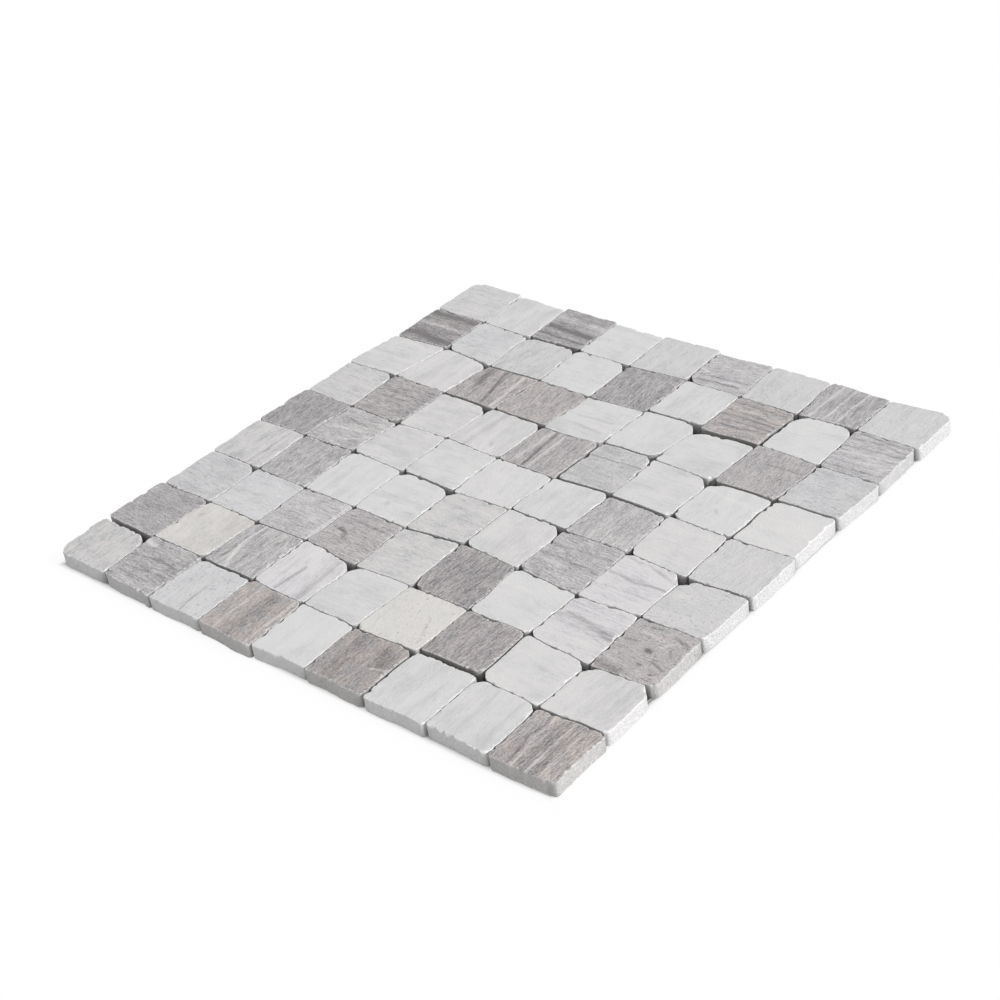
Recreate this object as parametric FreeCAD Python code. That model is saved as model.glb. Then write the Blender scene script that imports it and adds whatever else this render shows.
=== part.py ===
import FreeCAD, Part
import math
import os
import random

# A sheet of tumbled marble mosaic, lying face up: square tiles in straight columns and rows, bonded
# by their backs to a laid net of flat glass-fibre threads. X and Y run along the sheet's edges and Z
# is up. The origin is on the floor, under the middle of the sheet. Lengths are in millimetres.

# The tiles
COLUMNS = 9
ROWS = 9
TILE_SIDE = 33.4
JOINT = 0.5
TILE_THICKNESS = 7.5
ARRIS_WEAR = 0.8

# How tumbling and laying by hand leave them: the joint lines wander at their crossings and wave
# between them, a joint opens and closes, an edge tile stands in or out, and corners are worn round
CROSSING_DRIFT = 0.8
JOINT_WAVE = 0.55
JOINT_VARIATION = 0.5
EDGE_PLAY = 0.9
CORNER_WEAR = 1.7
CORNER_WEAR_VARIATION = 0.45
LOST_CORNER_SKEW = 0.15
BREAK_ROUNDING = 0.4
LONGEST_CORNER_SHARE = 0.7
CHANCE = "mosaic"

# Sway along X of all crossings on each row line, from the front edge of the sheet to the back, and
# along Y of all crossings on each column line, from left to right
SWAY_X = (1.0, 0.2, 0.0, -0.9, -1.4, -0.8, -0.7, 1.8, 1.2, 0.4)
SWAY_Y = (0.9, 0.6, -0.2, -0.4, -1.1, 0.2, 0.5, 0.2, -0.4, 0.6)

# Crossings, as (column line, row line), that were laid furthest off, and how far along X and Y
NUDGES = {
    (1, 1): (-2.4, -0.6), (5, 1): (-1.1, -1.4), (7, 1): (0.6, 1.2), (3, 2): (-1.0, 1.8),
    (8, 2): (0.8, -2.5), (5, 3): (-0.9, 2.8), (7, 3): (1.2, -1.5), (2, 4): (-1.8, 2.8),
    (7, 4): (2.0, 0.9), (8, 4): (1.7, -0.6), (3, 5): (-2.0, 1.0), (5, 5): (1.2, -1.7),
    (1, 6): (-1.6, 0.6), (5, 6): (1.4, -1.0), (7, 6): (0.8, -1.6), (1, 7): (0.6, 1.9),
    (2, 7): (0.7, -1.3), (7, 7): (-1.0, 1.5), (5, 8): (1.2, 1.3), (8, 8): (-1.0, 1.5),
}

# The net
THREAD_SPACING = 5.0
THREAD_WIDTH = 0.9
THREAD_FLAT = 0.5
THREAD_THICKNESS = 0.3
NET_MARGIN = 2.5

# The stone of each tile: one string for each row, from the front edge (lowest Y) to the back
LAYING_PLAN = (
    "LGLTWTWWT",
    "TCGVWCTWW",
    "LLGTLTWVT",
    "LGWWLWGVL",
    "TGWWWWGWL",
    "LTWWTLWWW",
    "WWTTWWWTL",
    "TLLWTWTWG",
    "LWTWLGLGL",
)
STONE_NODES = {
    "W": "white_marble_tiles",
    "V": "veined_marble_tiles",
    "C": "cream_marble_tiles",
    "L": "pale_grey_marble_tiles",
    "G": "grey_marble_tiles",
    "T": "taupe_marble_tiles",
}

# The tiles that lost a corner, as (column, row), for each corner of a tile seen from above, and how
# much of both its sides went with it
LOST_CORNERS = {
    "front_left": {
        (0, 0): 5.5, (7, 1): 3.6, (5, 2): 4.5, (7, 2): 3.6, (5, 3): 3.8, (6, 3): 3.4, (7, 4): 4.0,
        (7, 5): 4.2, (1, 7): 4.0, (5, 8): 4.5,
    },
    "front_right": {(1, 1): 3.0, (1, 5): 5.0, (5, 6): 4.2, (6, 6): 3.6},
    "back_right": {
        (0, 0): 4.6, (3, 0): 3.0, (5, 0): 4.0, (7, 0): 3.6, (0, 1): 2.8, (3, 1): 5.4, (7, 1): 4.0,
        (8, 1): 5.0, (0, 2): 5.0, (3, 3): 5.0, (5, 3): 5.0, (7, 3): 5.0, (5, 4): 3.6, (0, 5): 4.5,
        (2, 5): 5.4, (3, 5): 4.5, (5, 5): 4.5, (6, 5): 5.4, (1, 6): 4.2, (5, 6): 5.4, (2, 7): 5.0,
        (3, 7): 5.0, (7, 7): 5.4, (8, 8): 4.0,
    },
    "back_left": {
        (2, 0): 3.6, (7, 0): 4.6, (2, 1): 3.2, (4, 1): 4.5, (8, 1): 4.8, (6, 2): 2.8, (7, 2): 3.0,
        (2, 3): 4.5, (3, 3): 5.0, (8, 3): 5.0, (7, 5): 5.2, (6, 6): 6.8, (2, 7): 4.4, (3, 7): 3.2,
        (7, 7): 5.8, (0, 8): 5.0,
    },
}

# The sides, as (side, column, row), that fall short of their joint or of the sheet's edge, and by how
# much. One below zero stands out past it.
SHORT_SIDES = {
    ("back", 0, 0): 3.0, ("front", 0, 1): -1.2, ("back", 2, 0): 0.8, ("left", 6, 0): 0.9,
    ("back", 8, 0): 0.6, ("front", 6, 1): 1.9, ("right", 6, 1): 0.8, ("back", 4, 2): 0.8,
    ("back", 5, 3): -0.9, ("back", 8, 3): 0.6, ("front", 3, 4): 1.0, ("front", 5, 4): 1.4,
    ("back", 6, 4): 1.6, ("back", 2, 5): 1.2, ("back", 3, 5): -0.8, ("left", 5, 5): 1.0,
    ("front", 5, 5): 1.2, ("back", 5, 5): -1.5, ("left", 8, 5): 0.8, ("back", 8, 5): -0.8,
    ("front", 3, 6): 1.4, ("front", 5, 6): 2.2, ("back", 5, 6): -1.5, ("back", 6, 6): 2.6,
    ("front", 7, 6): 1.3, ("front", 8, 6): 1.6, ("front", 1, 7): 0.4, ("front", 2, 7): 0.6,
    ("front", 5, 7): 2.4, ("left", 7, 7): 1.4, ("front", 2, 8): 1.2,
    ("left", 0, 0): -2.4, ("left", 0, 1): -2.0, ("left", 0, 2): -0.4, ("left", 0, 3): -1.2,
    ("left", 0, 4): -2.1, ("left", 0, 5): -0.6, ("left", 0, 6): -1.5, ("left", 0, 7): -0.6,
    ("left", 0, 8): -0.8, ("right", 8, 7): 1.5,
    ("back", 0, 8): -1.3, ("back", 1, 8): 0.7, ("back", 2, 8): -1.6, ("back", 3, 8): 0.5,
    ("back", 4, 8): -1.5, ("back", 5, 8): 1.6, ("back", 6, 8): 1.5, ("back", 7, 8): 0.6,
    ("back", 8, 8): 0.6,
}

PITCH = TILE_SIDE + JOINT
SHEET_X = COLUMNS * PITCH - JOINT
SHEET_Y = ROWS * PITCH - JOINT
NET_THICKNESS = 2 * THREAD_THICKNESS


def chance(*key):
    """A number from -1 to 1 that depends only on what it is for."""
    return random.Random(repr((CHANCE,) + key)).uniform(-1.0, 1.0)


def crossing(column, row):
    """The point where joint line `column` meets joint line `row`, both counted from the front left."""
    x = (column - COLUMNS / 2.0) * PITCH + SWAY_X[row % len(SWAY_X)]
    y = (row - ROWS / 2.0) * PITCH + SWAY_Y[column % len(SWAY_Y)]
    drift = CROSSING_DRIFT * chance("drift x", column, row), CROSSING_DRIFT * chance("drift y", column, row)
    nudge = NUDGES.get((column, row), drift)
    return FreeCAD.Vector(x + nudge[0], y + nudge[1], 0)


def joint_line(start, end):
    """The wavy middle of one joint: its two crossings, with two points between them."""
    first = crossing(*start)
    last = crossing(*end)
    run = last - first
    across = FreeCAD.Vector(-run.y, run.x, 0).normalize()
    points = [first]
    for part in (1, 2):
        wave = JOINT_WAVE * chance("wave", start, end, part)
        points.append(first + run * (part / 3.0) + across * wave)
    points.append(last)
    return points


def on_edge(column, row, side):
    """Whether a side of a tile is on the outer edge of the sheet."""
    return {
        "front": row == 0,
        "right": column == COLUMNS - 1,
        "back": row == ROWS - 1,
        "left": column == 0,
    }[side]


def side_inset(column, row, side, place):
    """How far a tile's side stands inside the middle of the joint beside it."""
    play = 0.6 * chance("side", column, row, side) + 0.4 * chance("side", column, row, side, place)
    inset = JOINT / 2.0 * (1.0 + JOINT_VARIATION * play)
    if (side, column, row) in SHORT_SIDES:
        inset = inset + SHORT_SIDES[side, column, row]
    elif on_edge(column, row, side):
        inset = inset + EDGE_PLAY * chance("edge", column, row, side)
    return inset


def tile_sides(column, row):
    """The four sides of a tile, anticlockwise from the front, each as four points."""
    corners = ((column, row), (column + 1, row), (column + 1, row + 1), (column, row + 1))
    names = ("front", "right", "back", "left")
    inward = (
        FreeCAD.Vector(0, 1, 0),
        FreeCAD.Vector(-1, 0, 0),
        FreeCAD.Vector(0, -1, 0),
        FreeCAD.Vector(1, 0, 0),
    )
    sides = []
    for k in range(4):
        before = (k - 1) % 4
        after = (k + 1) % 4
        ends = sorted((corners[k], corners[after]))
        line = joint_line(*ends)
        if ends[0] != corners[k]:
            line.reverse()
        side = []
        for place, point in enumerate(line):
            side.append(point + inward[k] * side_inset(column, row, names[k], place))
        side[0] = side[0] + inward[before] * side_inset(column, row, names[before], 3)
        side[3] = side[3] + inward[after] * side_inset(column, row, names[after], 0)
        sides.append(side)
    return sides


def corner_points(column, row, corner, before, tip, after):
    """The points of one corner, each with how far its rounding reaches along both its sides.

    An ordinary corner is one rounded point. A lost one is a straight break with both ends rounded.
    """
    longest = LONGEST_CORNER_SHARE * min((before - tip).Length, (after - tip).Length)
    if (column, row) not in LOST_CORNERS[corner]:
        reach = CORNER_WEAR * (1.0 + CORNER_WEAR_VARIATION * chance("corner", column, row, corner))
        return [(tip, min(reach, longest))]
    cut = min(LOST_CORNERS[corner][column, row], longest)
    skew = LOST_CORNER_SKEW * chance("skew", column, row, corner)
    reach = BREAK_ROUNDING * cut
    start = tip + (before - tip).normalize() * (cut * (1.0 - abs(skew) + skew))
    end = tip + (after - tip).normalize() * (cut * (1.0 - abs(skew) - skew))
    return [(start, reach), (end, reach)]


def tile_points(column, row):
    """The outline of one tile seen from above, as points that are each rounded or left as kinks."""
    sides = tile_sides(column, row)
    corners = ("front_left", "front_right", "back_right", "back_left")
    points = []
    for k in range(4):
        side = sides[k]
        points.extend(corner_points(column, row, corners[k], sides[k - 1][2], side[0], side[1]))
        points.extend([(side[1], 0.0), (side[2], 0.0)])
    return points


def worn_round(before, tip, after, reach):
    """A corner worn round: two flats whose three points lie on the arc that meets both sides."""
    back = (before - tip).normalize()
    ahead = (after - tip).normalize()
    half_angle = back.getAngle(ahead) / 2.0
    depth = reach * (1.0 - math.sin(half_angle)) / math.cos(half_angle)
    return [tip + back * reach, tip + (back + ahead).normalize() * depth, tip + ahead * reach]


def tile_outline(column, row):
    """The closed outline of one tile on the net, with its corners worn round."""
    points = tile_points(column, row)
    outline = []
    for k, (tip, reach) in enumerate(points):
        if reach:
            outline.extend(worn_round(points[k - 1][0], tip, points[(k + 1) % len(points)][0], reach))
        else:
            outline.append(tip)
    return Part.makePolygon(outline + outline[:1])


def tile(column, row):
    """One tumbled tile: a flat slab on the net, with the top arris worn to a bevel all round."""
    outline = tile_outline(column, row)
    outline.translate(FreeCAD.Vector(0, 0, NET_THICKNESS))
    slab = Part.Face(outline).extrude(FreeCAD.Vector(0, 0, TILE_THICKNESS))
    middle = NET_THICKNESS + TILE_THICKNESS / 2.0
    arris = [edge for edge in slab.Edges if edge.BoundBox.ZMin > middle]
    return slab.makeChamfer(ARRIS_WEAR, arris)


def thread(length):
    """One flat thread along X: its section is flat above and below, with bevelled edges."""
    half = THREAD_WIDTH / 2.0
    flat = THREAD_FLAT / 2.0
    section = [
        (-flat, 0), (flat, 0), (half, THREAD_THICKNESS / 2.0),
        (flat, THREAD_THICKNESS), (-flat, THREAD_THICKNESS), (-half, THREAD_THICKNESS / 2.0),
    ]
    points = [FreeCAD.Vector(-length / 2.0, y, z) for y, z in section]
    face = Part.Face(Part.makePolygon(points + points[:1]))
    return face.extrude(FreeCAD.Vector(length, 0, 0))


def thread_places(width):
    """Places of parallel threads across a width, from edge to edge, with one on the middle line."""
    span = width - THREAD_WIDTH
    gaps = 2 * max(1, round(span / THREAD_SPACING / 2.0))
    return [span * (k / gaps - 0.5) for k in range(gaps + 1)]


def lower_threads():
    """The threads that run along X and lie on the floor."""
    solids = []
    for y in thread_places(SHEET_Y - 2 * NET_MARGIN):
        solid = thread(SHEET_X - 2 * NET_MARGIN)
        solid.translate(FreeCAD.Vector(0, y, 0))
        solids.append(solid)
    return solids


def upper_threads():
    """The threads that run along Y, on the lower ones and under the tiles."""
    solids = []
    for x in thread_places(SHEET_X - 2 * NET_MARGIN):
        solid = thread(SHEET_Y - 2 * NET_MARGIN)
        solid.rotate(FreeCAD.Vector(0, 0, 0), FreeCAD.Vector(0, 0, 1), 90)
        solid.translate(FreeCAD.Vector(x, 0, THREAD_THICKNESS))
        solids.append(solid)
    return solids


def laid_tiles():
    """Every tile, sorted by its stone, with the middle of them all above the origin."""
    nodes = {}
    for row in range(ROWS):
        for column in range(COLUMNS):
            plan_row = LAYING_PLAN[row % len(LAYING_PLAN)]
            name = STONE_NODES[plan_row[column % len(plan_row)]]
            nodes.setdefault(name, []).append(tile(column, row))
    box = Part.Compound([solid for solids in nodes.values() for solid in solids]).BoundBox
    to_middle = FreeCAD.Vector(-box.Center.x, -box.Center.y, 0)
    for solids in nodes.values():
        for solid in solids:
            solid.translate(to_middle)
    return nodes


def main():
    os.makedirs("parts", exist_ok=True)
    nodes = laid_tiles()
    nodes["net_lower_threads"] = lower_threads()
    nodes["net_upper_threads"] = upper_threads()
    for name, solids in nodes.items():
        Part.Compound(solids).exportStep(os.path.join("parts", name + ".step"))
        print(name, len(solids), "solids")


main()
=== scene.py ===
import math

import bpy
import numpy as np
from mathutils import Matrix, Vector


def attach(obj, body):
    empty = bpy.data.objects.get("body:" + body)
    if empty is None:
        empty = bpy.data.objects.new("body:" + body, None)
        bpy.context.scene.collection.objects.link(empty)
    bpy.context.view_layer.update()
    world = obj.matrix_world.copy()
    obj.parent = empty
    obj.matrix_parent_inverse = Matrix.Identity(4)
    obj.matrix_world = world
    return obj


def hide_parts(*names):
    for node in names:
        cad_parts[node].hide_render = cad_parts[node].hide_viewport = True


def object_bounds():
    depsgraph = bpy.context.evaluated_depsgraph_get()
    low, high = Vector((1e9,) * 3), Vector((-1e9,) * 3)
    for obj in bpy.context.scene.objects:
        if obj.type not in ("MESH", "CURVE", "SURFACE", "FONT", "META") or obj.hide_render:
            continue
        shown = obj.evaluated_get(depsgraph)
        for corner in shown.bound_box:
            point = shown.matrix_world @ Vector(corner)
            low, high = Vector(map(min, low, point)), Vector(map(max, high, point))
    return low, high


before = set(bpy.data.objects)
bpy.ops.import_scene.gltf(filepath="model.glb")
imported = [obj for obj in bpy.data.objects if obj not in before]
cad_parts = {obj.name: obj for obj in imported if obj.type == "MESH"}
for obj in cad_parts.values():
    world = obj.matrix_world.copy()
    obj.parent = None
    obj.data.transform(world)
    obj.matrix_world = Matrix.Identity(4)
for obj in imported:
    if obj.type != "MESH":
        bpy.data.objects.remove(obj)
cad_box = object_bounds()

# A sheet of tumbled marble mosaic on a glass-fibre net. Shapes are worked out in millimetres and
# written into the meshes in metres.

MM = 0.001
COLUMNS = 9
ROWS = 9
SEED = 5

# Photograph's viewpoint, on an image of 1000 by 1000
LENS = 67.8
SENSOR = 36.0
VIEW_FROM = Vector((0.5353, -0.5339, 0.4866))
VIEW_AT = Vector((0.0081, -0.0121, 0.0081))
VIEW_ROLL = math.radians(-8.74)

# Light
SUN_STRENGTH = 2.87
SUN_SPREAD = math.radians(14)
SUN_TOWARDS = Vector((1.0, 0.12, 0.50))
SKY_STRENGTH = 0.6

# Floor: its side in metres, and in millimetres out from the sheet's edge, where its colour goes from
# the dark grey of the painted shade under the sheet to pale, and where its plain white glow sets in
FLOOR_SIZE = 6.0
FLOOR_SHADE_EDGE = (-6.0, -3.0)
FLOOR_GLOW = (-5.0, 11.0)

# A tile's grid: cells across its top, rings over its arris, as how many of its widths they lie in
# from its outer edge, and rings down its walls, as shares of their height
TOP_STEPS = 50
ARRIS_STEPS = (1.15, 0.85, 0.55, 0.28, 0.0)
WALL_STEPS = (0.03, 0.1, 0.26, 0.5, 0.76, 0.94, 1.0)

# Wear of a tile's top edge, in millimetres. A side on the sheet's outer edge stands free and shows
# more of it, by these factors. A side between tiles swells a little past its CAD outline, so that
# the joints are as tight as in the photograph.
ARRIS_WIDTH = 0.1
ARRIS_DEPTH = 0.1
OUTER_WIDTH = 2.0
OUTER_DEPTH = 8.0
RIM_WANDER = 0.04
NICKS = 0.6
INNER_SWELL = 0.14

# Bites out of the rim: how many, half their lengths and their depths in millimetres, and how rare
# the deep ones are, as a power of chance
BITES = 28
BITE_HALVES = (0.8, 3.2)
BITE_LEAST = 0.02
BITE_MORE = 0.95
BITE_RARITY = 3.5

# Top of a tile: how far it lies below its CAD height, its swells and its grain in millimetres, and
# how far it leans, as a slope
TOP_SINK = (0.02, 0.12)
TOP_SWELL = 0.05
TOP_GRAIN = 0.02
LEAN = 0.004

# Walls of a tile, in millimetres: how deep they are broken, in lumps and in grit, and how much
# further their foot is
WALL_LOSS = 0.1
WALL_GRIT = 0.06
FOOT_WEAR = 0.15

# Border of the top where crumbs break out, and how far strokes wobble, in millimetres
CHIPPED_BORDER = 1.6
STROKE_WOBBLE = 0.5

# Stone's tint, from cool at 0 to warm at 1: tiles of neither kind, and plainly warm ones
MIXED_WARMTH = (0.3, 1.0)
PLAINLY_WARM = 1.4

# Seeds that tell one pattern of a tile from another
RIM_WANDER_SEED, NICK_SEED, ARRIS_WIDTH_SEED, ARRIS_DEPTH_SEED = 23, 29, 37, 41
TOP_SWELL_SEED, TOP_GRAIN_SEED, WALL_LOSS_SEED, WALL_GRIT_SEED, FOOT_SEED = 61, 67, 71, 73, 79
WOBBLE_X_SEED, WOBBLE_Y_SEED, YARN_WIDTH_SEED, YARN_SWAY_SEED = 301, 302, 83, 89

# Strips of rows that the tiles of a stone are split into, to keep each piece's mesh small
STRIPS = (("front", 0, 3), ("middle", 3, 6), ("back", 6, ROWS))

# Yarn's grid: points round it and stations along it
YARN_POINTS = 8
YARN_STATIONS = 62

# Levels of the bedding where a dark and a pale line lie side by side, with the grey drawn there
SEAM_GREYS = (
    (0.3, 0.5), (0.35, 0.15), (0.4, 0.85), (0.44, 0.5), (0.49, 0.5), (0.53, 0.0), (0.58, 1.0),
    (0.62, 0.5), (0.68, 0.25), (0.72, 0.8),
)
# Grey that the walls between tiles are darkened towards as painted shade, and the adhesive on the backs
JOINT_SHADE = "#5E5C5A"
ADHESIVE = "#DADAD6"

# Grain of each tile, seen from above: h along X, v along Y; one string for each row, front to back
GRAIN_PLAN = (
    "vhvvvvvvv",
    "hvvvhvvhv",
    "hhhhhvhhh",
    "vvvhhvhhh",
    "vhhhvvvhv",
    "hhhvvhhvh",
    "hvvvhvhvh",
    "hhvhvvhhh",
    "hvhhvhvvv",
)

# Tiles, as (column, row), plainly darker (below 0) or paler than others of their stone
SHADES = {
    (0, 0): -0.5, (1, 0): -0.8, (2, 0): 0.7, (1, 1): -1.0, (4, 1): -0.5, (6, 1): -0.3, (8, 1): -0.4,
    (0, 2): -0.5, (1, 2): 0.6, (2, 2): 0.9, (3, 2): 1.0, (5, 2): -0.7, (8, 2): 1.4, (1, 3): -0.6,
    (5, 3): -0.6, (8, 3): 0.9, (0, 4): -0.4, (2, 4): -0.6, (5, 4): -0.4, (8, 4): 1.0, (1, 5): 0.2,
    (2, 5): -0.7, (3, 5): -0.8, (4, 5): 0.8, (5, 5): -0.9, (8, 5): 1.0, (0, 6): -0.6, (1, 6): -0.6,
    (3, 6): 0.7, (7, 6): 0.9, (0, 7): -1.2, (1, 7): 0.5, (5, 7): -0.5, (8, 7): 0.8, (1, 8): -0.7,
    (5, 8): 0.9, (7, 8): -0.7, (8, 8): 0.9,
}

# Tiles that are plainly cooler or warmer than others of their stone
COOL = {
    (2, 0), (0, 1), (0, 2), (1, 2), (0, 4), (8, 6), (1, 7), (4, 7), (2, 8),
}
WARM = {
    (0, 0), (3, 0), (5, 0), (8, 0), (7, 1), (8, 1), (4, 2), (4, 3), (5, 3), (2, 4), (7, 4), (2, 5),
    (3, 5), (8, 5), (1, 6),
}

# Tiles with open pits, and how plainly they show
PITTED = {
    (2, 0): 0.6, (3, 0): 0.5, (5, 0): 0.5, (0, 1): 0.5, (5, 1): 0.8, (0, 2): 0.5, (8, 2): 1.0,
    (8, 3): 0.6, (5, 5): 0.7, (7, 6): 0.5, (8, 6): 0.5,
}

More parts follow.
